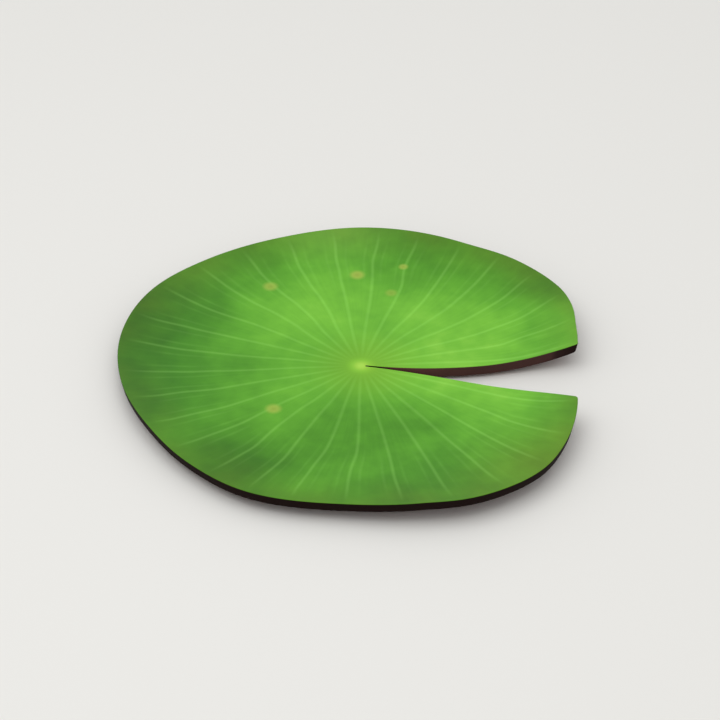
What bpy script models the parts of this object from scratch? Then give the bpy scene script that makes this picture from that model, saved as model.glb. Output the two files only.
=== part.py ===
# Water lily pad: one floating leaf, cut flush from its stalk and lying on its ribs.
# Metres, +Z up. The origin is the middle of the stalk's flat cut end, +X runs out along the notch.

import math

import bmesh
import bpy

MM = 0.001

# Outline: the rim's distance from the stalk, in millimetres, at bearings counted
# anticlockwise from the notch in degrees.
RIM_RADII_MM = {
    13: 94.5,
    21: 96.6,
    30: 100.5,
    39: 102.9,
    55: 103.1,
    70: 100.9,
    97: 105.6,
    118: 104.6,
    138: 106.4,
    156: 108.6,
    174: 107.9,
    194: 104.6,
    215: 102.4,
    233: 103.6,
    250: 105.8,
    272: 103.9,
    290: 108.1,
    300: 111.8,
    309: 112.6,
    320: 111.4,
    330: 107.1,
    350: 96.6,
}
RIM_BEARINGS = [math.radians(bearing) for bearing in RIM_RADII_MM]
RIM_RADII = [radius * MM for radius in RIM_RADII_MM.values()]
MEAN_RADIUS = 104.0 * MM

# Notch: a slit at the stalk that opens out to this angle on each side of its middle line,
# which swings from one bearing at the stalk to another at the rim, and turns back a little
# between the tips of the lobes.
NOTCH_HALF_ANGLE = math.radians(11.7)
NOTCH_OPENING_POWER = 0.7
NOTCH_MIDDLE_AT_STALK = math.radians(-1.8)
NOTCH_MIDDLE_AT_RIM = math.radians(1.5)
NOTCH_TIP_TURN = math.radians(-1.7)
NOTCH_TIP_SHARE = 0.6
SLIT_HALF_WIDTH = 0.20 * MM

# Stalk, cut off level with the lowest ribs.
STALK_RADIUS = 3.0 * MM
STALK_SHOULDER = 0.5 * MM
HUB_SWELL_RADIUS = 14.0 * MM
HUB_SWELL = 0.8 * MM

# Blade: thick and fleshy, flat in the middle and turned up towards the rim. Its edges lean in
# below, so that the underside is a little smaller than the upper face.
HUB_TOP = 6.5 * MM
MIDDLE_DIP = 0.2 * MM
HUB_THICKNESS = 4.9 * MM
RIM_THINNING = 0.2 * MM
RIM_UNDERCUT = 1.1 * MM
NOTCH_UNDERCUT = 0.3 * MM
FLAT_SHARE = 0.5
RISE_MEAN = 3.9 * MM
RISE_TO_NOTCH = 2.25 * MM
RISE_AT_ENDS = 0.35 * MM
RIPPLE_HEIGHTS = {5: 0.45 * MM, 8: 0.30 * MM}
RIPPLE_PHASES = {5: 1.1, 8: 4.0}

# Veins: evenly spread round the stalk, each swaying a little on its way to the rim. The first
# one is turned aside by the notch and keeps about this far from its edge.
VEIN_COUNT = 29
VEIN_PITCH = math.radians(12.0)
VEIN_OFFSET = math.radians(-1.7)
VEIN_SWAY = math.radians(0.9)
VEIN_HUB_LEAN = math.radians(0.35)
VEIN_SIDE_LEAN = math.radians(0.5)
NOTCH_MARGIN = math.radians(2.0)

# Ribs: one under each vein, all reaching down to the surface that the leaf lies on.
RIB_HALF_WIDTH_HUB = 1.7 * MM
RIB_HALF_WIDTH_RIM = 0.9 * MM
RIB_ARCH = 0.8 * MM
RIB_ARCH_RADIUS = 22.0 * MM
RIB_END_SHARE = 0.97

# Mesh: columns of vertices per vein and rings from the stalk to the rim.
COLUMNS_PER_VEIN = 4
FLANK = 0.25
FLANK_MAX_SHARE = 0.45
FAN_ANGLE = math.radians(350.0)
OUTER_RINGS = [0.10, 0.17, 0.26, 0.36, 0.46, 0.56, 0.66, 0.76, 0.86, 0.94, 1.0]
WELD_DISTANCE = 0.001 * MM
SHARP_ANGLE = math.radians(40.0)

LEAF_GREEN = (0.135, 0.342, 0.048, 1.0)


def smooth_step(x):
    x = min(max(x, 0.0), 1.0)
    return x * x * (3 - 2 * x)


def rim_slope(i):
    """How fast the rim's radius changes with bearing at one of the stated points."""
    before, after = max(i - 1, 0), min(i + 1, len(RIM_RADII) - 1)
    return (RIM_RADII[after] - RIM_RADII[before]) / (RIM_BEARINGS[after] - RIM_BEARINGS[before])


def rim_radius(bearing):
    """The rim's distance from the stalk, on a smooth curve through the stated points."""
    i = max(sum(stated <= bearing for stated in RIM_BEARINGS[:-1]) - 1, 0)
    span = RIM_BEARINGS[i + 1] - RIM_BEARINGS[i]
    t = min(max((bearing - RIM_BEARINGS[i]) / span, 0.0), 1.0)
    blend = smooth_step(t)
    straight = RIM_RADII[i] * (1 - blend) + RIM_RADII[i + 1] * blend
    return straight + span * t * (1 - t) * (rim_slope(i) * (1 - t) - rim_slope(i + 1) * t)


def on_stalk(share):
    return MEAN_RADIUS * share < STALK_RADIUS + STALK_SHOULDER / 2


def notch_edges(share, upper):
    """Bearings of the notch's two edges; they meet over the stalk."""
    if on_stalk(share):
        return 0.0, 2 * math.pi
    radius = MEAN_RADIUS * share
    swing = NOTCH_MIDDLE_AT_RIM - NOTCH_MIDDLE_AT_STALK
    to_tips = max((share - NOTCH_TIP_SHARE) / (1 - NOTCH_TIP_SHARE), 0.0)
    middle = NOTCH_MIDDLE_AT_STALK + swing * smooth_step(share) + NOTCH_TIP_TURN * to_tips**2
    half = max(NOTCH_HALF_ANGLE * share**NOTCH_OPENING_POWER, SLIT_HALF_WIDTH / radius)
    if not upper:
        half += NOTCH_UNDERCUT / radius * smooth_step((radius - STALK_RADIUS) / HUB_SWELL_RADIUS)
    return middle + half, 2 * math.pi + middle - half


def vein_bearing(number, share):
    """Where vein 1 to 29 runs."""
    base = number * VEIN_PITCH + VEIN_OFFSET
    turn = math.pi * share
    wave = math.sin(base) * math.cos(2 * turn) + math.cos(base) * (math.sin(2 * turn) - math.cos(turn))
    lean = VEIN_HUB_LEAN * math.cos(turn) - VEIN_SIDE_LEAN * math.sin(base)
    bearing = base + VEIN_SWAY * wave + lean
    if number > 1:
        return bearing
    edge = notch_edges(share, True)[0]
    room = bearing - edge
    return edge + (room + math.hypot(room, 2 * NOTCH_MARGIN)) / 2


def rib_half_width(share):
    return RIB_HALF_WIDTH_HUB + (RIB_HALF_WIDTH_RIM - RIB_HALF_WIDTH_HUB) * share


def lane_bearing(lane, share, upper):
    """Bearing of a lane: vein n runs at lane n - 0.5 and the notch's edges are lanes 0 and 29."""
    number = min(int(lane) + 1, VEIN_COUNT)
    offset = lane - (number - 0.5)
    side = 1 if offset >= 0 else -1
    crest = vein_bearing(number, share)
    if number + side < 1:
        border = notch_edges(share, upper)[0]
    elif number + side > VEIN_COUNT:
        border = notch_edges(share, upper)[1]
    else:
        border = (crest + vein_bearing(number + side, share)) / 2
    web = abs(border - crest)
    radius = max(MEAN_RADIUS * share, STALK_RADIUS)
    flank = min(rib_half_width(share) / radius, FLANK_MAX_SHARE * web)
    part = abs(offset)
    if part <= FLANK:
        return crest + side * flank * part / FLANK
    return crest + side * (flank + (web - flank) * (part - FLANK) / (0.5 - FLANK))


def top_height(bearing, share):
    """Height of the upper face above the surface that the leaf lies on."""
    dip = MIDDLE_DIP * smooth_step(share / FLAT_SHARE)
    rise = RISE_MEAN + RISE_TO_NOTCH * math.cos(bearing) + RISE_AT_ENDS * math.cos(2 * bearing)
    lift = max((share - FLAT_SHARE) / (1 - FLAT_SHARE), 0.0)
    ripple = sum(h * math.sin(n * bearing + RIPPLE_PHASES[n]) for n, h in RIPPLE_HEIGHTS.items())
    return HUB_TOP - dip + rise * lift**2 + ripple * lift**3


def web_height(bearing, share):
    """Height of the underside between the ribs."""
    radius = MEAN_RADIUS * share
    swell = HUB_SWELL * (1 - smooth_step((radius - STALK_RADIUS) / (HUB_SWELL_RADIUS - STALK_RADIUS)))
    thickness = HUB_THICKNESS - RIM_THINNING * share**2
    return top_height(bearing, share) - thickness - swell


def crest_height(bearing, share):
    """Height of a rib's crest: level over the flat middle, then fading into the blade."""
    radius = MEAN_RADIUS * share
    if share <= FLAT_SHARE:
        return RIB_ARCH * (1 - smooth_step((radius - STALK_RADIUS) / (RIB_ARCH_RADIUS - STALK_RADIUS)))
    depth = web_height(bearing, FLAT_SHARE) - crest_height(bearing, FLAT_SHARE)
    fade = min((share - FLAT_SHARE) / (RIB_END_SHARE - FLAT_SHARE), 1.0)
    return web_height(bearing, share) - depth * (1 - fade)


def under_height(lane, bearing, share):
    """Height of the underside: the stalk's cut end, the ribs and the webs between them."""
    if on_stalk(share):
        return 0.0
    rib = max(1 - abs(lane - int(lane) - 0.5) / FLANK, 0.0)
    web = web_height(bearing, share)
    return web + (crest_height(bearing, share) - web) * rib


def leaf_point(lane, share, upper):
    """Where a vertex of the fan goes on the leaf's upper face or underside."""
    bearing = lane_bearing(lane, share, upper)
    radius = MEAN_RADIUS * share + (rim_radius(bearing) - MEAN_RADIUS) * share**3
    if upper:
        height = top_height(bearing, share)
    else:
        height = under_height(lane, bearing, share)
        radius -= RIM_UNDERCUT * share**4
    return radius * math.cos(bearing), radius * math.sin(bearing), height


def open_fan(bm):
    """A flat fan from one side of the notch round to the other; each vertex keeps its lane and share."""
    lane_layer = bm.verts.layers.float.new("lane")
    share_layer = bm.verts.layers.float.new("share")
    stalk = STALK_RADIUS / MEAN_RADIUS
    shoulder = (STALK_RADIUS + STALK_SHOULDER) / MEAN_RADIUS
    shares = [0.0, stalk, shoulder, (shoulder + OUTER_RINGS[0]) / 2] + OUTER_RINGS
    spoke = [bm.verts.new((share, 0, 0)) for share in shares]
    edges = [bm.edges.new(pair) for pair in zip(spoke, spoke[1:])]
    columns = VEIN_COUNT * COLUMNS_PER_VEIN
    bmesh.ops.spin(
        bm,
        geom=spoke + edges,
        cent=(0, 0, 0),
        axis=(0, 0, 1),
        angle=FAN_ANGLE,
        steps=columns,
        use_merge=False,
    )
    for vert in bm.verts:
        turn = math.atan2(vert.co.y, vert.co.x) % (2 * math.pi)
        column = round(turn / FAN_ANGLE * columns)
        vert[lane_layer] = column / COLUMNS_PER_VEIN if column <= columns else 0.0
        vert[share_layer] = min(shares, key=lambda share: abs(share - vert.co.xy.length))
    return lane_layer, share_layer


def make_leaf(name):
    bm = bmesh.new()
    lane_layer, share_layer = open_fan(bm)

    # The upper face, closed over the stalk.
    for vert in bm.verts:
        vert.co = leaf_point(vert[lane_layer], vert[share_layer], True)
    bmesh.ops.remove_doubles(bm, verts=bm.verts[:], dist=WELD_DISTANCE)

    # The underside and the walls of rim and notch.
    made = bmesh.ops.extrude_face_region(bm, geom=bm.faces[:], use_keep_orig=True)
    under = [item for item in made["geom"] if isinstance(item, bmesh.types.BMVert)]
    for vert in under:
        vert.co = leaf_point(vert[lane_layer], vert[share_layer], False)

    # The stalk's cut end as one flat face.
    cut = {vert for vert in under if on_stalk(vert[share_layer])}
    bmesh.ops.dissolve_faces(bm, faces=[face for face in bm.faces if cut.issuperset(face.verts)])
    bmesh.ops.recalc_face_normals(bm, faces=bm.faces[:])

    mesh = bpy.data.meshes.new(name)
    bm.to_mesh(mesh)
    bm.free()
    mesh.shade_smooth()
    mesh.set_sharp_from_angle(angle=SHARP_ANGLE)
    return bpy.data.objects.new(name, mesh)


def leaf_material():
    material = bpy.data.materials.new("leaf_green")
    material.use_nodes = True
    shader = material.node_tree.nodes["Principled BSDF"]
    shader.inputs["Base Color"].default_value = LEAF_GREEN
    shader.inputs["Roughness"].default_value = 0.5
    shader.inputs["Metallic"].default_value = 0.0
    return material


for old in list(bpy.data.objects):
    bpy.data.objects.remove(old)

leaf = make_leaf("lily_pad")
leaf.data.materials.append(leaf_material())
collection = bpy.data.collections.new("water_lily_pad")
bpy.context.scene.collection.children.link(collection)
collection.objects.link(leaf)
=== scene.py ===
import math

import bmesh
import bpy
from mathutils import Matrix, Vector


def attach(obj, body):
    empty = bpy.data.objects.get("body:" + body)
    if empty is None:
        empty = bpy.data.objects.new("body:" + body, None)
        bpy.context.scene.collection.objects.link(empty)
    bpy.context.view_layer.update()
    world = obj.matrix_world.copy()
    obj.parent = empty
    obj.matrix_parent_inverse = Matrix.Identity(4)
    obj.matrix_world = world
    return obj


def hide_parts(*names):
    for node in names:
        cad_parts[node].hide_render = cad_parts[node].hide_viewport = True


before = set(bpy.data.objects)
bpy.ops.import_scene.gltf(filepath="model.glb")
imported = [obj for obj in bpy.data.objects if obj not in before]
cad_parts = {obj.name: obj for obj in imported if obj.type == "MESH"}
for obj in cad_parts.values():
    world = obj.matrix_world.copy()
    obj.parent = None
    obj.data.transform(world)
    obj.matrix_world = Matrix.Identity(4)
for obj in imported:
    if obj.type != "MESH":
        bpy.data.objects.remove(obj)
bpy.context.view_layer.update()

mm = 0.001


def srgb(hexColour):
    # a hex colour as it looks on screen, turned to the linear values that shaders use
    channels = [int(hexColour[i:i + 2], 16) / 255 for i in (1, 3, 5)]
    linear = [c / 12.92 if c <= 0.04045 else ((c + 0.055) / 1.055) ** 2.4 for c in channels]
    return (*linear, 1.0)


def addNode(tree, kind, inputs=None, stops=None, **settings):
    # One node with its settings. An input given as a node or a socket is linked and the rest are set, and
    # a colour ramp takes its colours, or plain values, from its stops. Sockets go by their number where
    # names are long or repeat: a Map Range has its value at 0, its from at 1 and 2 and its to at 3 and 4,
    # and a Mix has its factor at 0 and its colours at 6 and 7.
    node = tree.nodes.new("ShaderNode" + kind)
    for name, value in settings.items():
        setattr(node, name, value)
    for number, (place, colour) in enumerate((stops or {}).items()):
        # a new ramp has two stops to begin with
        elements = node.color_ramp.elements
        element = elements[number] if number < 2 else elements.new(place)
        element.position = place
        element.color = (colour, colour, colour, 1.0) if isinstance(colour, float) else colour
    for socket, value in (inputs or {}).items():
        if isinstance(value, bpy.types.Node):
            value = value.outputs[0]
        if isinstance(value, bpy.types.NodeSocket):
            tree.links.new(value, node.inputs[socket])
        else:
            node.inputs[socket].default_value = value
    return node


def smoothStep(x, start=0.0, end=1.0):
    # 0 up to the start, 1 from the end on, and smooth between them
    x = min(max((x - start) / (end - start), 0.0), 1.0)
    return x * x * (3 - 2 * x)


# Leaf shape, in millimetres and degrees. It is the solid that it stands for, with rounded edges and with a
# slit by the stalk that is wide enough to show. A share is a part of the way from the stalk to the rim.
leaf = {
    # bearing and radius of the points that the rim goes through
    "rimRadii": {
        13: 94.5, 21: 96.6, 30: 100.5, 39: 102.9, 55: 103.1, 70: 100.9, 97: 105.6, 118: 104.6,
        138: 106.4, 156: 108.6, 174: 107.9, 194: 104.6, 215: 102.4, 233: 103.6, 250: 105.8,
        272: 103.9, 290: 108.1, 300: 111.8, 309: 112.6, 320: 111.4, 330: 107.1, 350: 96.6,
    },
    "meanRadius": 104.0,
    "rimPower": 3,  # how late, going outwards, the rim's own shape comes in
    "notchHalfAngle": 11.7,
    "notchPower": 0.7,
    "notchMiddle": (-2.2, 1.5),  # at the stalk and at the rim
    "notchTipTurn": -1.7,
    "notchTipShare": 0.6,
    "slitHalfWidth": 0.45,
    "stalkRadius": 3.0,
    "stalkShoulder": 0.5,
    # air channels in the stalk's cut end, four wide ones and a ring of narrow ones, as rows of count,
    # distance from the middle, radius and depth
    "stalkChannels": ((4, 1.25, 0.55, 0.7), (9, 2.35, 0.26, 0.35)),
    "swellRadius": 14.0,
    "swellHeight": 0.8,
    "hubTop": 6.5,
    "middleDip": 0.2,
    "hubThickness": 4.9,
    "rimThinning": 0.2,
    "flatShare": 0.5,
    "rise": (3.9, 2.25, 0.35),  # all round, more at the notch, more at both ends
    "ripples": {5: (0.45, 1.1), 8: (0.30, 4.0)},  # height and phase of so many waves round the rim
    "rimUndercut": 1.1,
    "notchUndercut": 0.3,
    "outlineInset": 0.04,
    "insetPower": 8,  # how late, going outwards, the rim's inset comes in
    "topRounding": 0.3,
    "lowRounding": 0.5,
    "straightWall": (0.4, 0.6),  # part of the way down the edge that lies between the two roundings
    "tipLength": 1.4,
    "tipRounding": 0.4,
}

# Veins: 29 from the stalk, each forked on both sides towards the rim, in millimetres and degrees
veins = {
    "count": 29,
    "pitch": 12.0,
    "offset": -1.7,
    "sway": 0.9,
    "hubLean": 0.35,  # one way at the hub and the other way at the rim
    "sideLean": 0.5,  # on the leaf's two sides
    "notchMargin": 2.0,
    "ribHalfWidth": (1.9, 1.0),  # at the hub and at the rim
    "ribArch": 0.8,
    "ribArchRadius": 22.0,
    "ribEnd": 0.97,
    "forkFrom": 0.40,
    "forkTo": 0.62,
    "forkRise": 0.1,
    "forkLane": 0.25,
    "forkHalfWidth": 0.75,
    "forkDepth": 0.45,  # part of the main rib's depth
    # how far the veins drawn on the upper face swing aside: halfway out, three quarters out and at the rim
    "bends": {
        2: (0.0, 2.4, 2.0), 3: (-0.8, -0.2, 1.6), 4: (-0.5, 0.2, 1.8), 5: (-0.5, 0.3, 0.8),
        6: (-0.5, 0.0, -0.5), 7: (0.0, 1.8, -0.2), 8: (0.0, 0.0, -2.7), 9: (0.0, -0.8, -2.8),
        10: (-0.8, -0.5, -2.7), 11: (-1.1, -0.2, -1.8), 12: (-1.0, 0.1, -0.5), 13: (-0.6, 0.9, 0.7),
        14: (0.0, 0.4, 2.1), 15: (0.5, 0.3, -0.3), 16: (0.3, 0.7, 1.5), 17: (-0.4, -0.5, 1.5),
        18: (-0.5, -0.2, 1.4), 19: (-0.8, -0.1, 0.7), 20: (-1.1, 2.0, 2.8), 21: (-0.6, 1.2, 1.2),
        22: (0.2, -1.2, -1.7), 23: (0.0, -1.2, -0.5), 24: (-0.2, 0.3, 1.3), 25: (0.0, 0.1, -0.5),
        26: (0.0, 0.4, -0.4), 28: (0.0, -1.2, -1.5),
    },
    # where each of the three begins, is full, starts to fade and is gone
    "bendShares": ((0.28, 0.42, 0.52, 0.66), (0.6, 0.75, 0.75, 0.93), (0.75, 0.93, 1.0, 2.0)),
}

# Mesh of the leaf, in millimetres and degrees: where its rings are, and how finely rings and wall are cut
leafMesh = {
    "columnsPerVein": 8,
    "doubleOutside": (12.0, 42.0),
    "stalkRings": 10,
    "hubRings": (3.25, 3.5, 4.2, 5.2, 6.5, 8.0, 10.0, 12.0),
    "ringStep": 3.0,
    "rimRings": (102.3, 103.3, 104.0),
    "wallCuts": 9,
    "fanAngle": 350.0,
    "greenDepth": 0.25,  # the upper face's green runs on over the first half of the rounded edge
    "mergeDistance": 0.0005,
    "shareSlack": 0.0005,
}

rimBearings = [math.radians(b) for b in leaf["rimRadii"]]
rimRadii = list(leaf["rimRadii"].values())


def rimSlope(i):
    before, after = max(i - 1, 0), min(i + 1, len(rimRadii) - 1)
    return (rimRadii[after] - rimRadii[before]) / (rimBearings[after] - rimBearings[before])


def rimRadius(bearing):
    # smooth curve through the rim's stated points
    i = max(sum(b <= bearing for b in rimBearings[:-1]) - 1, 0)
    span = rimBearings[i + 1] - rimBearings[i]
    t = min(max((bearing - rimBearings[i]) / span, 0.0), 1.0)
    blend = smoothStep(t)
    straight = rimRadii[i] * (1 - blend) + rimRadii[i + 1] * blend
    return straight + span * t * (1 - t) * (rimSlope(i) * (1 - t) - rimSlope(i + 1) * t)


def onStalk(share):
    return leaf["meanRadius"] * share < leaf["stalkRadius"] + leaf["stalkShoulder"] / 2


def notchEdges(share, inset):
    # bearings of the notch's two edges, moved into the leaf by the inset
    if onStalk(share):
        return 0.0, 2 * math.pi
    radius = leaf["meanRadius"] * share
    atStalk, atRim = (math.radians(angle) for angle in leaf["notchMiddle"])
    toTips = max((share - leaf["notchTipShare"]) / (1 - leaf["notchTipShare"]), 0.0)
    middle = atStalk + (atRim - atStalk) * smoothStep(share)
    middle += math.radians(leaf["notchTipTurn"]) * toTips ** 2
    half = math.hypot(math.radians(leaf["notchHalfAngle"]) * share ** leaf["notchPower"],
                      leaf["slitHalfWidth"] / radius)
    toTip = leaf["meanRadius"] * (1 - share)
    inset += leaf["tipRounding"] * max(1 - toTip / leaf["tipLength"], 0) ** 2
    half += inset / radius * smoothStep(radius - leaf["stalkRadius"], 0.0, leaf["swellRadius"])
    return middle + half, 2 * math.pi + middle - half


def veinBearing(number, share):
    base = math.radians(number * veins["pitch"] + veins["offset"])
    turn = math.pi * share
    wave = math.sin(base) * math.cos(2 * turn) + math.cos(base) * (math.sin(2 * turn) - math.cos(turn))
    lean = veins["hubLean"] * math.cos(turn) - veins["sideLean"] * math.sin(base)
    bearing = base + math.radians(veins["sway"] * wave + lean)
    if number > 1:
        return bearing
    # the first vein is turned aside by the notch
    edge = notchEdges(share, 0.0)[0]
    room = bearing - edge
    return edge + (room + math.hypot(room, 2 * math.radians(veins["notchMargin"]))) / 2


def laneBearing(lane, share, inset):
    # Bearing of a lane, and the angle from its vein to the border with the next one. Vein n runs at lane
    # n - 0.5, and the notch's edges are lanes 0 and 29.
    number = min(int(lane) + 1, veins["count"])
    offset = lane - (number - 0.5)
    side = 1 if offset >= 0 else -1
    crest = veinBearing(number, share)
    if number + side < 1:
        border = notchEdges(share, inset)[0]
    elif number + side > veins["count"]:
        border = notchEdges(share, inset)[1]
    else:
        border = (crest + veinBearing(number + side, share)) / 2
    return crest + (border - crest) * abs(offset) * 2, abs(border - crest)


def topHeight(bearing, share):
    everywhere, toNotch, atEnds = leaf["rise"]
    rise = everywhere + toNotch * math.cos(bearing) + atEnds * math.cos(2 * bearing)
    lift = max((share - leaf["flatShare"]) / (1 - leaf["flatShare"]), 0.0)
    ripple = sum(h * math.sin(n * bearing + phase) for n, (h, phase) in leaf["ripples"].items())
    dip = leaf["middleDip"] * smoothStep(share, 0.0, leaf["flatShare"])
    return leaf["hubTop"] - dip + rise * lift ** 2 + ripple * lift ** 3


def bladeThickness(share):
    return leaf["hubThickness"] - leaf["rimThinning"] * share ** 2


def webHeight(bearing, share):
    # the underside between the ribs, with the swelling round the stalk
    radius = leaf["meanRadius"] * share
    swell = leaf["swellHeight"] * (1 - smoothStep(radius, leaf["stalkRadius"], leaf["swellRadius"]))
    return topHeight(bearing, share) - bladeThickness(share) - swell


def crestHeight(bearing, share):
    # the ribs' lower edge: level over the flat middle, then fading into the blade
    flat = leaf["flatShare"]
    if share <= flat:
        radius = leaf["meanRadius"] * share
        return veins["ribArch"] * (1 - smoothStep(radius, leaf["stalkRadius"], veins["ribArchRadius"]))
    depth = webHeight(bearing, flat) - crestHeight(bearing, flat)
    fade = min((share - flat) / (veins["ribEnd"] - flat), 1.0)
    return webHeight(bearing, share) - depth * (1 - fade)


def stalkCutHeight(bearing, radius):
    # how far above the cut end a point of it is; each channel is level to half its radius
    x, y = radius * math.cos(bearing), radius * math.sin(bearing)
    height = 0.0
    for count, distance, size, depth in leaf["stalkChannels"]:
        step = 2 * math.pi / count
        middle = round(bearing / step) * step
        away = math.hypot(x - distance * math.cos(middle), y - distance * math.sin(middle))
        height = max(height, depth * (1 - smoothStep(away / size, 0.5, 1.0)))
    return height


def underHeight(lane, share, bearing, halfPitch):
    if onStalk(share):
        return stalkCutHeight(bearing, leaf["meanRadius"] * share)
    offset = abs(lane % 1 - 0.5)
    web = webHeight(bearing, share)
    depth = web - crestHeight(bearing, share)
    hubWidth, rimWidth = veins["ribHalfWidth"]
    halfWidth = min(hubWidth + (rimWidth - hubWidth) * share, halfPitch)
    rib = 1 - smoothStep(offset * 2 * halfPitch, 0.0, halfWidth)
    forkLane = veins["forkLane"] * smoothStep(share, veins["forkFrom"], veins["forkTo"])
    fromFork = abs(offset - forkLane) * 2 * halfPitch
    fork = veins["forkDepth"] * smoothStep(share - veins["forkFrom"], 0.0, veins["forkRise"])
    fork *= 1 - smoothStep(fromFork, 0.0, veins["forkHalfWidth"])
    return web - depth * max(rib, fork)


def edgeProfile(depth, thickness):
    # inset and drop of the leaf's edge, from the upper face (0) round to the underside (1)
    top, low = leaf["topRounding"], leaf["lowRounding"]
    wallTop, wallFoot = leaf["straightWall"]
    if depth < wallTop:
        turn = depth / wallTop * math.pi / 2
        return top * (1 - math.sin(turn)), top * (1 - math.cos(turn))
    if depth < wallFoot:
        return 0.0, top + (thickness - top - low) * (depth - wallTop) / (wallFoot - wallTop)
    turn = (depth - wallFoot) / (1 - wallFoot) * math.pi / 2
    return low * (1 - math.cos(turn)), thickness - low + low * math.sin(turn)


def leafPoint(lane, share, depth):
    # where a point of the fan goes, and how far its veins are apart there; depth 0 is the upper face and
    # 1 the underside
    thickness = bladeThickness(share)
    corner, drop = edgeProfile(depth, thickness)
    fall = drop / thickness
    notchInset = leaf["outlineInset"] + corner + leaf["notchUndercut"] * fall
    rimInset = leaf["outlineInset"] + corner + leaf["rimUndercut"] * fall
    bearing, halfAngle = laneBearing(lane, share, notchInset)
    farEdge, nearEdge = notchEdges(share, 0.0)
    toTip = min(bearing - farEdge, nearEdge - bearing) * leaf["meanRadius"]
    rimInset += leaf["tipRounding"] * max(1 - toTip / leaf["tipLength"], 0) ** 2
    radius = leaf["meanRadius"] * share
    radius += (rimRadius(bearing) - leaf["meanRadius"]) * share ** leaf["rimPower"]
    radius -= rimInset * share ** leaf["insetPower"]
    halfPitch = halfAngle * max(leaf["meanRadius"] * share, leaf["stalkRadius"])
    high = topHeight(bearing, share)
    low = underHeight(lane, share, bearing, halfPitch)
    height = high - (high - low) * fall
    return Vector((radius * math.cos(bearing), radius * math.sin(bearing), height)) * mm, halfPitch * 2


def bendAmount(share, begin, full, fade, gone):
    return smoothStep(share, begin, full) * (1 - smoothStep(share, fade, gone))


def drawnLane(lane, share, pitch):
    # lane as the veins are drawn on the upper face, where most swing aside a little
    number = int(lane + 0.5)
    toNext = smoothStep(lane + 0.5 - number)
    amounts = [bendAmount(share, *places) for places in veins["bendShares"]]
    bends = [sum(bend * amount for bend, amount in zip(veins["bends"].get(n, ()), amounts))
             for n in (number, number + 1)]
    return lane - (bends[0] * (1 - toNext) + bends[1] * toNext) / pitch


def ringRadii():
    stalk, mean = leaf["stalkRadius"], leaf["meanRadius"]
    radii = [stalk * i / leafMesh["stalkRings"] for i in range(leafMesh["stalkRings"] + 1)]
    radii += leafMesh["hubRings"]
    while radii[-1] + leafMesh["ringStep"] < leafMesh["rimRings"][0]:
        radii.append(radii[-1] + leafMesh["ringStep"])
    radii += leafMesh["rimRings"]
    return [radius / mean for radius in radii]


def spinFan(bm, laneLayer, shareLayer):
    # one spoke of vertices spun from one edge of the notch round to the other
    shares = ringRadii()
    spoke = [bm.verts.new((share, 0, 0)) for share in shares]
    edges = [bm.edges.new(pair) for pair in zip(spoke, spoke[1:])]
    columns = veins["count"] * leafMesh["columnsPerVein"]
    fanAngle = math.radians(leafMesh["fanAngle"])
    bmesh.ops.spin(bm, geom=spoke + edges, cent=(0, 0, 0), axis=(0, 0, 1), angle=fanAngle,
                   steps=columns, use_merge=False)
    # the first spoke's angle can come out just under a full turn
    for vert in bm.verts:
        column = round(math.atan2(vert.co.y, vert.co.x) % (2 * math.pi) / fanAngle * columns)
        vert[laneLayer] = column / leafMesh["columnsPerVein"] if column <= columns else 0.0
        vert[shareLayer] = min(shares, key=lambda share: abs(share - vert.co.xy.length))
    # the outer rings are cut finer
    for limit in leafMesh["doubleOutside"]:
        outside = limit / leaf["meanRadius"] - leafMesh["shareSlack"]
        around = [edge for edge in bm.edges
                  if all(vert[shareLayer] > outside for vert in edge.verts)
                  and abs(edge.verts[0][shareLayer] - edge.verts[1][shareLayer]) < leafMesh["shareSlack"]]
        bmesh.ops.subdivide_edges(bm, edges=around, cuts=1, use_grid_fill=False)


def makeLeaf(name):
    bm = bmesh.new()
    lane, share, depth, pitch, drawn = (bm.verts.layers.float.new(word) for word in
                                        ("lane", "share", "depth", "pitch", "drawn"))
    spinFan(bm, lane, share)

    def place(verts):
        for vert in verts:
            vert.co, vert[pitch] = leafPoint(vert[lane], vert[share], vert[depth])
            vert[drawn] = drawnLane(vert[lane], vert[share], vert[pitch])

    # the upper face, closed over the stalk
    place(bm.verts)
    bmesh.ops.remove_doubles(bm, verts=bm.verts[:], dist=leafMesh["mergeDistance"] * mm)

    # the underside, and the wall round rim and notch with its rounded corners
    made = bmesh.ops.extrude_face_region(bm, geom=bm.faces[:], use_keep_orig=True)
    under = [item for item in made["geom"] if isinstance(item, bmesh.types.BMVert)]
    for vert in under:
        vert[depth] = 1.0
    wall = [edge for edge in bm.edges if edge.verts[0][depth] != edge.verts[1][depth]]
    bmesh.ops.subdivide_edges(bm, edges=wall, cuts=leafMesh["wallCuts"], use_grid_fill=True)
    place([vert for vert in bm.verts if vert[depth] > 0])
    bmesh.ops.recalc_face_normals(bm, faces=bm.faces[:])

    # the first material is the green one
    for face in bm.faces:
        face.material_index = int(max(vert[depth] for vert in face.verts) > leafMesh["greenDepth"])

    mesh = bpy.data.meshes.new(name)
    bm.to_mesh(mesh)
    bm.free()
    mesh.shade_smooth()
    piece = bpy.data.objects.new(name, mesh)
    bpy.context.scene.collection.objects.link(piece)
    return piece


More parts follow.
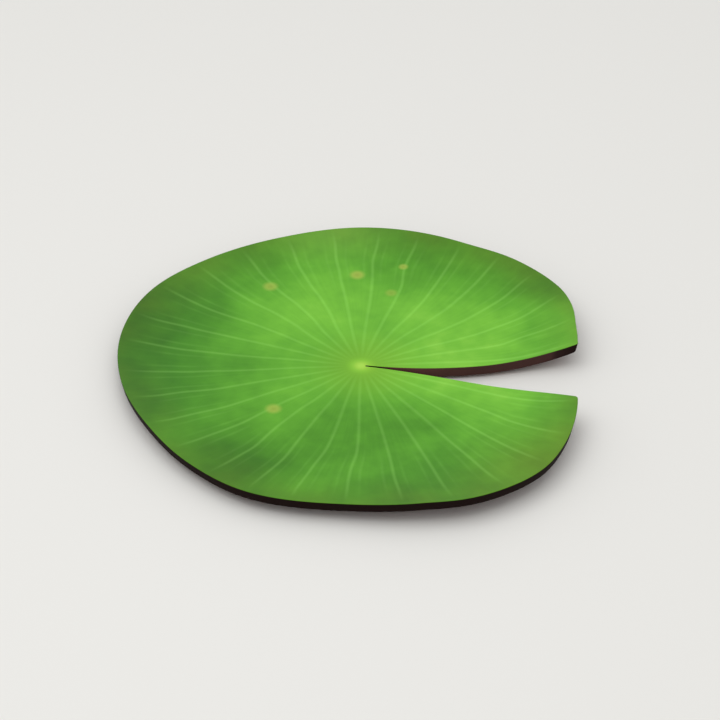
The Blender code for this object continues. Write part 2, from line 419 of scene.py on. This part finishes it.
# Colours of the upper face, with lengths in millimetres. Tone runs from 0, the deepest green, to 1, the
# yellow green of the hub.
leafTop = {
    "greens": {0.0: "#2c5a18", 0.17: "#39721a", 0.42: "#4f9324", 0.58: "#60a92d", 0.75: "#74be37",
               0.85: "#84c941", 0.91: "#93d047", 1.0: "#a5dd55"},
    "toneByShare": {0.0: 0.66, 0.06: 0.61, 0.1: 0.6, 0.15: 0.64, 0.2: 0.665, 0.4: 0.64, 0.6: 0.57,
                    0.8: 0.43, 0.9: 0.37, 1.0: 0.32},
    # soft patches as bearing, distance from the hub, reach and tone; the first is the glow over the stalk
    "patches": (
        (201, 0.4, 7.6, 0.34),
        (19, 60, 74, 0.19), (112, 52, 56, 0.12), (106, 101, 38, 0.18), (340, 92, 46, 0.14),
        (24, 97, 20, 0.14), (42, 102, 22, -0.13), (68, 28, 22, -0.11), (154, 25, 26, -0.12),
        (86, 68, 18, -0.07), (168, 102, 51, -0.21), (198, 97, 42, -0.16), (188, 56, 30, -0.14),
        (278, 46, 50, -0.20), (88, 40, 16, -0.10), (240, 88, 38, -0.22), (262, 93, 22, 0.12),
        (285, 98, 16, -0.08), (150, 84, 22, -0.10), (246, 83, 18, -0.10), (316, 48, 22, -0.10),
        (276, 76, 18, 0.12), (300, 82, 24, -0.12), (34, 86, 16, 0.10), (312, 106, 16, 0.12),
        (64, 46, 22, 0.09), (12, 95, 17, 0.2), (350, 62, 20, 0.10), (127, 48, 16, 0.10),
        (218, 60, 20, -0.07),
    ),
    "cloudSize": 26.0,
    "cloudDetail": 3.0,
    "cloudTone": 0.08,
    "mottleSize": 9.0,
    "mottleDetail": 2.0,
    "mottleTone": 0.05,
    # real fibres lie under 0.5 mm apart and don't show, so these are drawn 1 to 2 mm apart
    "fibresPerLane": 9.0,
    "fibresToRim": 5.0,
    "fibreDetail": 1.0,
    "fibreTone": 0.02,
    "noiseRange": (0.25, 0.75),  # values of these three patterns that count as darkest and palest
    "calmHub": (0.04, 0.3, 0.2),  # shares between which the patterns come in, and how much there is before
    # tints laid over the green as colour, bearing, distance from the hub, reach and amount
    "tints": (
        ("#b4c820", 0, 2, 32, 0.16), ("#d6dd40", 350, 3.5, 6, 0.05),  # yellow hub
        ("#8fa058", 104, 110, 42, 0.15), ("#8c9020", 322, 110, 50, 0.18),  # olive stretches of the rim
        ("#246a1e", 186, 98, 72, 0.24), ("#4a8a14", 250, 100, 100, 0.2),  # cool and warm green
    ),
    # pale veins, which lighten the green by so much of this colour
    "veinColour": "#7ba159",
    "veinWidth": 1.25,
    "veinStrength": 0.21,
    "veinShare": {0.04: 0.0, 0.12: 0.5, 0.2: 0.8, 0.5: 0.97, 0.6: 1.1, 0.75: 1.1, 0.88: 0.95, 0.94: 0.4,
                  0.98: 0.0},
    "sideVeinWidth": 1.1,
    "sideVeinStrength": 0.08,
    "sideVeinShare": {0.56: 0.0, 0.7: 0.9, 0.8: 1.0, 0.95: 0.0},
    "rimTint": "#748426",
    "rimTintShare": {0.78: 0.0, 0.88: 0.08, 0.95: 0.16, 1.0: 0.21},
    # how much the rim's tint and the side veins come and go
    "unevenSize": 18.0,
    "unevenDetail": 1.0,
    "unevenRange": (0.35, 0.65),
    "unevenness": 0.3,
    # tan spots as x, y, radius and strength
    "spots": ((-10.7, 69.5, 4.4, 0.9), (6.0, 57.6, 3.6, 0.5), (9.1, 77.6, 2.8, 0.8),
              (-48.0, 55.5, 4.4, 0.75), (-33.4, -36.3, 4.6, 0.8)),
    "spotColour": "#a2bb4b",
    "spotMiddle": "#97ab42",
    "spotFull": 0.28,  # part of the radius out to which a spot is at its full strength
    "spotMiddleSize": 0.5,
    # painted shade of the crease over the stalk, as places along the notch of its tip, full width and end,
    # and half its width
    "creaseShade": (1.3, 2.0, 3.5, 0.6),
    "creaseShadeColour": "#0c1006",
    "roughness": 0.5,
    "specular": 0.15,
    # the skin's own grain is finer than 0.1 mm, too fine to show, and is drawn coarser
    "grainSize": 1.1,
    "grainDepth": 0.02,
}


def startMaterial(name):
    material = bpy.data.materials.new(name)
    material.use_nodes = True
    return material, material.node_tree.nodes["Principled BSDF"]


def veinOffsets(tree, word):
    # how far off the main vein and off its nearer fork a point is
    lane, share, pitch = (addNode(tree, "Attribute", attribute_name=name).outputs["Fac"]
                          for name in (word, "share", "pitch"))
    offset = addNode(tree, "Math", {0: lane, 1: 0.5}, operation="PINGPONG")
    main = addNode(tree, "Math", {0: 0.5, 1: offset}, operation="SUBTRACT")
    spread = addNode(tree, "MapRange", {0: share, 1: veins["forkFrom"], 2: veins["forkTo"], 3: 0.0,
                                        4: veins["forkLane"]}, interpolation_type="SMOOTHSTEP")
    fork = addNode(tree, "Math", {0: main, 1: spread}, operation="SUBTRACT")
    fork = addNode(tree, "Math", {0: fork}, operation="ABSOLUTE")
    return [addNode(tree, "Math", {0: away, 1: pitch}, operation="MULTIPLY") for away in (main, fork)]


def nearPatch(tree, flat, bearing, distance, reach, amount):
    # the amount at a place on the leaf, fading to nothing at the reach
    turn = math.radians(bearing)
    middle = (distance * math.cos(turn) * mm, distance * math.sin(turn) * mm, 0)
    away = addNode(tree, "VectorMath", {0: flat, 1: middle}, operation="DISTANCE").outputs["Value"]
    return addNode(tree, "MapRange", {0: away, 1: 0.0, 2: reach * mm, 3: amount, 4: 0.0},
                   interpolation_type="SMOOTHSTEP")


def cloudyGreens(tree, flat, share):
    # a smooth fall from hub to rim, a glow over the stalk and soft patches
    tone = addNode(tree, "ValToRGB", {0: share}, stops=leafTop["toneByShare"])
    for patch in leafTop["patches"]:
        tone = addNode(tree, "Math", {0: tone, 1: nearPatch(tree, flat, *patch)}, operation="ADD")

    # mottling and fine fibres, which hardly show at the hub
    calmFrom, calmTo, calm = leafTop["calmHub"]
    offHub = addNode(tree, "MapRange", {0: share, 1: calmFrom, 2: calmTo, 3: calm, 4: 1.0})
    lane = addNode(tree, "Attribute", attribute_name="lane").outputs["Fac"]
    fibrePlace = addNode(tree, "CombineXYZ", {0: lane, 1: share})
    fibreCount = (leafTop["fibresPerLane"], leafTop["fibresToRim"], 1.0)
    fibrePlace = addNode(tree, "VectorMath", {0: fibrePlace, 1: fibreCount}, operation="MULTIPLY")
    low, high = leafTop["noiseRange"]
    for where, size, detail, amount in (
            (flat, leafTop["cloudSize"] * mm, leafTop["cloudDetail"], leafTop["cloudTone"]),
            (flat, leafTop["mottleSize"] * mm, leafTop["mottleDetail"], leafTop["mottleTone"]),
            (fibrePlace, 1.0, leafTop["fibreDetail"], leafTop["fibreTone"])):
        noise = addNode(tree, "TexNoise", {"Vector": where, "Scale": 1 / size, "Detail": detail})
        part = addNode(tree, "MapRange", {0: noise, 1: low, 2: high, 3: -amount, 4: amount})
        tone = addNode(tree, "Math", {0: part, 1: offHub, 2: tone}, operation="MULTIPLY_ADD")
    greens = {stop: srgb(colour) for stop, colour in leafTop["greens"].items()}
    return addNode(tree, "ValToRGB", {0: tone}, stops=greens)


def tanSpots(tree, flat, colour):
    # spots where the leaf has begun to wither
    for x, y, radius, strength in leafTop["spots"]:
        away = addNode(tree, "VectorMath", {0: flat, 1: (x * mm, y * mm, 0)}, operation="DISTANCE")
        away = away.outputs["Value"]
        full, inner = (radius * part * mm for part in (leafTop["spotFull"], leafTop["spotMiddleSize"]))
        edge = addNode(tree, "MapRange", {0: away, 1: full, 2: radius * mm, 3: strength, 4: 0.0},
                       interpolation_type="SMOOTHSTEP")
        middle = addNode(tree, "MapRange", {0: away, 1: 0.0, 2: inner, 3: 1.0, 4: 0.0})
        tan = addNode(tree, "Mix", {0: middle, 6: srgb(leafTop["spotColour"]),
                                    7: srgb(leafTop["spotMiddle"])}, data_type="RGBA").outputs[2]
        colour = addNode(tree, "Mix", {0: edge, 6: colour, 7: tan}, data_type="RGBA").outputs[2]
    return colour


def paintedCreaseShade(tree, flat, colour):
    # painted shade: a near-black line for the crease in which the notch runs out over the stalk, with a
    # pointed tip
    turn = math.radians(leaf["notchMiddle"][0])
    tip, full, end, half = (length * mm for length in leafTop["creaseShade"])
    along, across = (
        addNode(tree, "VectorMath", {0: flat, 1: way}, operation="DOT_PRODUCT").outputs["Value"]
        for way in ((math.cos(turn), math.sin(turn), 0), (-math.sin(turn), math.cos(turn), 0)))
    across = addNode(tree, "Math", {0: across}, operation="ABSOLUTE")
    pointed = addNode(tree, "MapRange", {0: along, 1: tip, 2: full, 3: half, 4: 0.0})
    across = addNode(tree, "Math", {0: across, 1: pointed}, operation="ADD")
    creaseShade = addNode(tree, "MapRange", {0: across, 1: half / 2, 2: half, 3: 1.0, 4: 0.0})
    within = addNode(tree, "MapRange", {0: along, 1: end, 2: end + half, 3: 1.0, 4: 0.0})
    creaseShade = addNode(tree, "Math", {0: creaseShade, 1: within}, operation="MULTIPLY")
    return addNode(tree, "Mix", {0: creaseShade, 6: colour, 7: srgb(leafTop["creaseShadeColour"])},
                   data_type="RGBA").outputs[2]


def leafSkin(tree, shader, place, values):
    # the grain and gloss of one face of the leaf
    grain = addNode(tree, "TexNoise", {"Vector": place, "Scale": 1 / (values["grainSize"] * mm)})
    bump = addNode(tree, "Bump", {"Height": grain, "Distance": values["grainDepth"] * mm})
    tree.links.new(bump.outputs[0], shader.inputs["Normal"])
    shader.inputs["Roughness"].default_value = values["roughness"]
    shader.inputs["Specular IOR Level"].default_value = values["specular"]


# Living leaf, grown with a thin bloom of wax on its upper face. It gives the eye a deep, cloudy green that
# the light sinks in to a little, a broad dull sheen without a sharp highlight, and pale veins that shine
# through from inside.
def waxyGreenTop(name):
    material, shader = startMaterial(name)
    tree = material.node_tree
    # a point's place, and the same as seen from straight above
    place = addNode(tree, "TexCoord").outputs["Object"]
    flat = addNode(tree, "VectorMath", {0: place, 1: (1, 1, 0)}, operation="MULTIPLY")
    share = addNode(tree, "Attribute", attribute_name="share").outputs["Fac"]
    colour = cloudyGreens(tree, flat, share)

    # olive along the rim, a little uneven, then the tints
    low, high = leafTop["unevenRange"]
    less, more = 1 - leafTop["unevenness"], 1 + leafTop["unevenness"]
    uneven = addNode(tree, "TexNoise", {"Vector": flat, "Scale": 1 / (leafTop["unevenSize"] * mm),
                                        "Detail": leafTop["unevenDetail"]})
    uneven = addNode(tree, "MapRange", {0: uneven, 1: low, 2: high, 3: less, 4: more})
    amount = addNode(tree, "ValToRGB", {0: share}, stops=leafTop["rimTintShare"])
    amount = addNode(tree, "Math", {0: amount, 1: uneven}, operation="MULTIPLY")
    tints = [(leafTop["rimTint"], amount)]
    tints += [(tint, nearPatch(tree, flat, *patch)) for tint, *patch in leafTop["tints"]]
    for tint, amount in tints:
        colour = addNode(tree, "Mix", {0: amount, 6: colour, 7: srgb(tint)}, data_type="RGBA").outputs[2]

    # pale veins along each lane, with a fainter one on both sides in the outer half
    main, side = veinOffsets(tree, "drawn")
    for away, word, evenness in ((main, "vein", 1.0), (side, "sideVein", uneven)):
        width, amount = leafTop[word + "Width"], leafTop[word + "Strength"]
        line = addNode(tree, "MapRange", {0: away, 1: 0.0, 2: width, 3: amount, 4: 0.0},
                       interpolation_type="SMOOTHSTEP")
        strength = addNode(tree, "ValToRGB", {0: share}, stops=leafTop[word + "Share"])
        line = addNode(tree, "Math", {0: line, 1: strength}, operation="MULTIPLY")
        line = addNode(tree, "Math", {0: line, 1: evenness}, operation="MULTIPLY")
        colour = addNode(tree, "Mix", {0: line, 6: colour, 7: srgb(leafTop["veinColour"])},
                         data_type="RGBA", blend_type="ADD").outputs[2]

    colour = tanSpots(tree, flat, colour)
    # painted shade in the crease over the stalk
    colour = paintedCreaseShade(tree, flat, colour)
    tree.links.new(colour, shader.inputs["Base Color"])
    leafSkin(tree, shader, place, leafTop)
    return material


# Colours of the wall round the edge and of the underside, with lengths in millimetres
leafUnder = {
    # the wall, from the inner end of the notch out to the rim: its own maroon with painted shade, near
    # black at the notch's inner end and darker from 0.85 out to the rim, and painted lighter partway into
    # the notch against the shade that falls there
    "wallMaroonAndShadeByShare": {0.06: "#100c08", 0.13: "#6d4843", 0.24: "#6d4843", 0.36: "#573a35", 0.5: "#4b322e",
                    0.85: "#462e2b", 0.88: "#2e1d1b", 1.0: "#180a07"},
    "wallDepth": 0.93,  # part of the way down at which the wall begins to turn to the underside's colour
    "rimShadow": (0.93, 1.0, 0.7),  # painted shadow: shares between which the underside darkens towards the rim, and how far
    "webPale": "#703e3d",
    "webDark": "#522d2e",
    "webMottle": 6.0,
    "webDetail": 4.0,
    "webRange": (0.35, 0.65),
    "rib": "#8d6d52",
    "ribWidth": 1.9,
    "ribShare": {0.03: 1.0, 0.7: 0.9, 0.96: 0.0},
    "forkWidth": 1.1,
    "forkShare": {0.42: 0.0, 0.6: 0.5, 0.8: 0.45, 0.95: 0.0},
    "stalkCut": "#9a9a63",
    "stalkCutShares": (0.0285, 0.031),  # where its colour gives way to the underside's
    "roughness": 0.65,
    "specular": 0.06,
    # drawn coarser than the skin's own grain, as above
    "grainSize": 1.4,
    "grainDepth": 0.05,
}


# Bare leaf skin without wax, full of red pigment because it faces the water. It gives the eye a dull, dark
# maroon that hardly shines, mottled, with ribs of a paler brown.
def maroonUnderside(name):
    material, shader = startMaterial(name)
    tree = material.node_tree
    place = addNode(tree, "TexCoord").outputs["Object"]
    share, depth = (addNode(tree, "Attribute", attribute_name=word).outputs["Fac"]
                    for word in ("share", "depth"))
    mottle = addNode(tree, "TexNoise", {"Vector": place, "Scale": 1 / (leafUnder["webMottle"] * mm),
                                        "Detail": leafUnder["webDetail"]})
    low, high = leafUnder["webRange"]
    mottle = addNode(tree, "MapRange", {0: mottle, 1: low, 2: high})
    colour = addNode(tree, "Mix", {0: mottle, 6: srgb(leafUnder["webDark"]), 7: srgb(leafUnder["webPale"])},
                     data_type="RGBA").outputs[2]

    # ribs, with their forks
    ribs = []
    for away, word in zip(veinOffsets(tree, "lane"), ("rib", "fork")):
        rib = addNode(tree, "MapRange", {0: away, 1: 0.0, 2: leafUnder[word + "Width"], 3: 1.0, 4: 0.0},
                      interpolation_type="SMOOTHSTEP")
        along = addNode(tree, "ValToRGB", {0: share}, stops=leafUnder[word + "Share"])
        ribs.append(addNode(tree, "Math", {0: rib, 1: along}, operation="MULTIPLY"))
    rib = addNode(tree, "Math", {0: ribs[0], 1: ribs[1]}, operation="MAXIMUM")

    # the stalk's cut end, and the wall's maroon with its painted shade, whose colour runs on over the rim
    # of the underside as a painted shadow
    cutFrom, cutTo = leafUnder["stalkCutShares"]
    cut = addNode(tree, "MapRange", {0: share, 1: cutFrom, 2: cutTo, 3: 1.0, 4: 0.0})
    wall = addNode(tree, "MapRange", {0: depth, 1: leafUnder["wallDepth"], 2: 1.0, 3: 1.0, 4: 0.0})
    # painted shadow along the underside's rim, laid on with the wall's shaded colour
    shadowFrom, shadowTo, shadow = leafUnder["rimShadow"]
    border = addNode(tree, "MapRange", {0: share, 1: shadowFrom, 2: shadowTo, 3: 0.0, 4: shadow})
    wall = addNode(tree, "Math", {0: wall, 1: border}, operation="MAXIMUM")
    # the wall's maroon, with painted shade and painted light along the notch and the rim
    wallMaroonsAndShades = {stop: srgb(tone) for stop, tone in leafUnder["wallMaroonAndShadeByShare"].items()}
    wallMaroonAndShade = addNode(tree, "ValToRGB", {0: share}, stops=wallMaroonsAndShades)
    for amount, tint in ((rib, srgb(leafUnder["rib"])), (cut, srgb(leafUnder["stalkCut"])),
                         (wall, wallMaroonAndShade)):
        colour = addNode(tree, "Mix", {0: amount, 6: colour, 7: tint}, data_type="RGBA").outputs[2]
    tree.links.new(colour, shader.inputs["Base Color"])
    leafSkin(tree, shader, place, leafUnder)
    return material


print("leaf")
lilyPad = makeLeaf("lilyPadLeaf")
lilyPad.data.materials.append(waxyGreenTop("waxyGreenLeafTop"))
lilyPad.data.materials.append(maroonUnderside("maroonLeafUnderside"))
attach(lilyPad, "root")
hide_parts("lily_pad")
print("leaf triangles", sum(len(p.vertices) - 2 for p in lilyPad.data.polygons))

# Studio: a pale floor, soft light from all round and one large soft light overhead, with the drop of the
# floor in millimetres and the rest in metres
studio = {
    "floor": "#e9e8e4",
    "floorRoughness": 0.8,
    "floorSize": 6.0,
    "floorDrop": 0.1,
    "world": "#ffffff",
    "worldStrength": 0.75,
    "overheadPlace": (-0.2, -0.2, 1.0),
    "overheadSize": 1.2,
    "overheadPower": 4.0,
}


# Rolled matt paper. It gives the eye an even, pale ground with a soft shadow and no shine.
def studioPaper(name):
    material, shader = startMaterial(name)
    shader.inputs["Base Color"].default_value = srgb(studio["floor"])
    shader.inputs["Roughness"].default_value = studio["floorRoughness"]
    return material


print("studio")
floorMesh = bmesh.new()
bmesh.ops.create_grid(floorMesh, x_segments=1, y_segments=1, size=studio["floorSize"])
floorData = bpy.data.meshes.new("studioFloor")
floorMesh.to_mesh(floorData)
floorMesh.free()
floor = bpy.data.objects.new("studioFloor", floorData)
floor.location.z = -studio["floorDrop"] * mm
floor.data.materials.append(studioPaper("studioPaper"))
bpy.context.scene.collection.objects.link(floor)

world = bpy.data.worlds.new("studioWorld")
world.use_nodes = True
world.node_tree.nodes["Background"].inputs["Color"].default_value = srgb(studio["world"])
world.node_tree.nodes["Background"].inputs["Strength"].default_value = studio["worldStrength"]
bpy.context.scene.world = world

overhead = bpy.data.objects.new("overheadSoftbox", bpy.data.lights.new("overheadSoftbox", "AREA"))
overhead.data.size = studio["overheadSize"]
overhead.data.energy = studio["overheadPower"]
overhead.location = studio["overheadPlace"]
overhead.rotation_mode = "QUATERNION"
overhead.rotation_quaternion = (-overhead.location).to_track_quat("-Z", "Y")
bpy.context.scene.collection.objects.link(overhead)

# Camera: a long lens, in millimetres, whose distance from the leaf's hub is in metres. The hub sits at the
# hub pixel of a frame that is so many pixels wide and high.
view = {
    "azimuth": 7.2,
    "elevation": 35.0,
    "distance": 1.7335,
    "lens": 200.0,
    "sensor": 36.0,
    "frame": 720,
    "hubPixel": (361.6, 365.5),
}

print("camera")
azimuth, elevation = math.radians(view["azimuth"]), math.radians(view["elevation"])
back = Vector((math.sin(azimuth) * math.cos(elevation), -math.cos(azimuth) * math.cos(elevation),
               math.sin(elevation)))
camera = bpy.data.objects.new("camera", bpy.data.cameras.new("camera"))
camera.data.lens = view["lens"]
camera.data.sensor_width = view["sensor"]
camera.rotation_mode = "QUATERNION"
camera.rotation_quaternion = (-back).to_track_quat("-Z", "Y")
pixel = view["distance"] * view["sensor"] / view["lens"] / view["frame"]
right = camera.rotation_quaternion @ Vector((1, 0, 0))
up = camera.rotation_quaternion @ Vector((0, 1, 0))
hubRight, hubDown = (place - view["frame"] / 2 for place in view["hubPixel"])
hub = Vector((0, 0, leaf["hubTop"] * mm))
camera.location = hub + back * view["distance"] - right * hubRight * pixel + up * hubDown * pixel
bpy.context.scene.collection.objects.link(camera)
bpy.context.scene.camera = camera
bpy.context.scene.view_settings.view_transform = "Standard"
